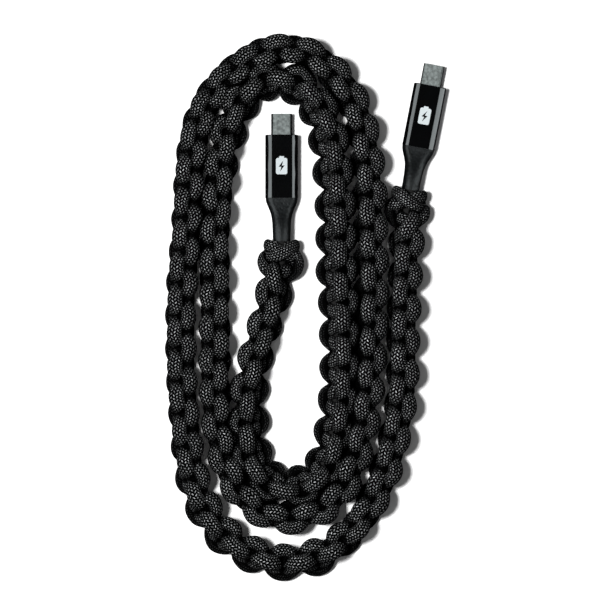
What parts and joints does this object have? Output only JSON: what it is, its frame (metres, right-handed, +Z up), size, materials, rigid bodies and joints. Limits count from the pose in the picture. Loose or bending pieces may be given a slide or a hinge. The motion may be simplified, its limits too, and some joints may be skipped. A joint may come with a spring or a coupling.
{
  "type": "charging cable",
  "caption": "Charging cable wrapped along its whole length in a thick knotted cord weave, lying in flat loops, with a USB-C plug in a metal housing and a rubber strain relief at both ends.",
  "frame": {"origin": "on the surface that the cable lies on, under the middle of the first plug's housing (the plug inside the loops)", "axes": "+Z up from the surface, +Y the way that the first plug points, +X to its right seen from above"},
  "size_m": [0.1104, 0.2136, 0.0144],
  "materials": {
    "anodised_aluminium": "satin anodised",
    "white_mark": "matte",
    "plug_steel": "matte bead-blasted",
    "black_plastic": "moulded",
    "gold_contacts": "gold plated",
    "spring_steel": "rolled",
    "board_green": "solder resist",
    "resistor_ceramic": "ceramic",
    "mould_plastic": "moulded",
    "ferrule_brass": "crimped",
    "wire_grey": "insulation",
    "relief_rubber": "matte",
    "jacket_rubber": "matte",
    "braid_metal": "braided",
    "wire_red": "insulation",
    "wire_black": "insulation",
    "wire_blue": "insulation",
    "wire_green": "insulation",
    "wire_white": "insulation",
    "black_cord": "braided nylon"
  },
  "bodies": {
    "cable": {"housing_one": "anodised_aluminium", "charge_mark_one": "white_mark", "plug_shell_one": "plug_steel", "contact_carrier_one": "black_plastic", "contacts_upper_one": "gold_contacts", "contacts_lower_one": "gold_contacts", "contact_block_one": "black_plastic", "shield_springs_one": "spring_steel", "circuit_board_one": "board_green", "marker_chip_one": "black_plastic", "resistors_one": "resistor_ceramic", "inner_mould_one": "mould_plastic", "crimp_ferrule_one": "ferrule_brass", "wire_tails_one": "wire_grey", "strain_relief_one": "relief_rubber", "housing_two": "anodised_aluminium", "charge_mark_two": "white_mark", "plug_shell_two": "plug_steel", "contact_carrier_two": "black_plastic", "contacts_upper_two": "gold_contacts", "contacts_lower_two": "gold_contacts", "contact_block_two": "black_plastic", "shield_springs_two": "spring_steel", "circuit_board_two": "board_green", "marker_chip_two": "black_plastic", "resistors_two": "resistor_ceramic", "inner_mould_two": "mould_plastic", "crimp_ferrule_two": "ferrule_brass", "wire_tails_two": "wire_grey", "strain_relief_two": "relief_rubber", "cable_jacket": "jacket_rubber", "shield_braid": "braid_metal", "power_wire": "wire_red", "ground_wire": "wire_black", "control_wire": "wire_blue", "data_plus_wire": "wire_green", "data_minus_wire": "wire_white", "outer_strand": "black_cord", "inner_strand": "black_cord", "first_knots_one": "black_cord", "first_knots_two": "black_cord"},
    "latch_left_one": {"latch_left_one": "spring_steel"},
    "latch_right_one": {"latch_right_one": "spring_steel"},
    "latch_left_two": {"latch_left_two": "spring_steel"},
    "latch_right_two": {"latch_right_two": "spring_steel"}
  },
  "joints": [
    {"name": "latch_left_one_flex", "type": "hinge", "parent": "cable", "child": "latch_left_one", "pos_m": [-0.00298, 0.01065, 0.0035], "axis": [0, 0, 1], "range_deg": [0, 1.8], "stiffness_Nm_per_rad": 0.8},
    {"name": "latch_right_one_flex", "type": "hinge", "parent": "cable", "child": "latch_right_one", "pos_m": [0.00298, 0.01065, 0.0035], "axis": [0, 0, -1], "range_deg": [0, 1.8], "stiffness_Nm_per_rad": 0.8},
    {"name": "latch_left_two_flex", "type": "hinge", "parent": "cable", "child": "latch_left_two", "pos_m": [0.0558, 0.03077, 0.0035], "axis": [0, 0, 1], "range_deg": [0, 1.8], "stiffness_Nm_per_rad": 0.8},
    {"name": "latch_right_two_flex", "type": "hinge", "parent": "cable", "child": "latch_right_two", "pos_m": [0.06164, 0.02964, 0.0035], "axis": [0, 0, -1], "range_deg": [0, 1.8], "stiffness_Nm_per_rad": 0.8}
  ]
}
